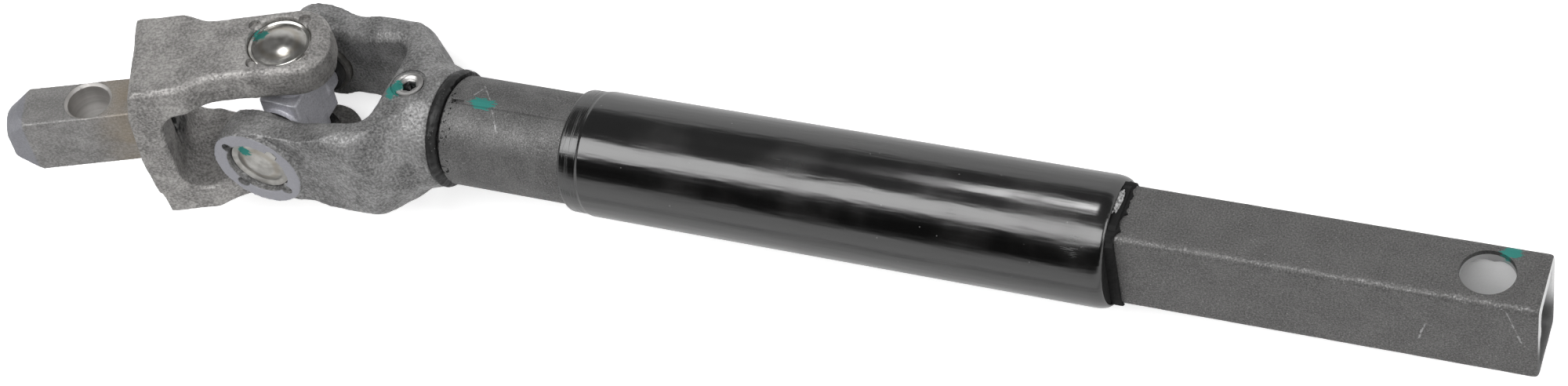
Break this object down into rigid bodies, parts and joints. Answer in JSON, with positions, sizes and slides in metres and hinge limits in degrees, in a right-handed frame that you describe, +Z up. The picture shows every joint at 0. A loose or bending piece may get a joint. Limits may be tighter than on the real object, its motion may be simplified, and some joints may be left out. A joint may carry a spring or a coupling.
{
  "type": "intermediate steering shaft",
  "caption": "Steering shaft with a universal joint, a solid drilled stub, a rubber isolator in a black sleeve and a rectangular socket tube with a bolt hole.",
  "frame": {"origin": "middle of the outline's box, on the ground the shaft lies on", "axes": "+X runs along the shaft, level, towards the open socket end; +Z is up; the side that the picture shows faces up"},
  "size_m": [0.3736, 0.0578, 0.0606],
  "materials": {
    "forged_steel": "grainy forged skin, lightly oiled",
    "machined_steel": "turned and pressed, half bright",
    "dark_tube": "drawn tube, dull grey",
    "gloss_black": "gloss black coat",
    "rubber": "matt black rubber",
    "sealant": "glossy black sealing compound"
  },
  "bodies": {
    "shaft": {"output_yoke": "forged_steel", "round_tube": "dark_tube", "sealant_ring": "sealant", "locking_screw": "machined_steel", "outer_sleeve": "gloss_black", "isolator_rubber": "rubber", "socket_tube": "dark_tube", "cup_front": "machined_steel", "needles_front": "machined_steel", "cup_rear": "machined_steel", "needles_rear": "machined_steel"},
    "spider": {"cross": "forged_steel", "seal_top": "rubber", "seal_bottom": "rubber", "seal_front": "rubber", "seal_rear": "rubber"},
    "input": {"input_yoke": "forged_steel", "input_stub": "forged_steel", "cup_top": "machined_steel", "needles_top": "machined_steel", "cup_bottom": "machined_steel", "needles_bottom": "machined_steel"}
  },
  "joints": [
    {"name": "cross_pivot", "type": "hinge", "parent": "shaft", "child": "spider", "pos_m": [-0.11948, 0.00375, 0.02418], "axis": [-0.0225, 0.7583, -0.6516], "range_deg": [-40.19, 29.81]},
    {"name": "input_pivot", "type": "hinge", "parent": "spider", "child": "input", "pos_m": [-0.11948, 0.00375, 0.02418], "axis": [0.1164, 0.6493, 0.7516], "range_deg": [-58.98, 11.02]}
  ]
}
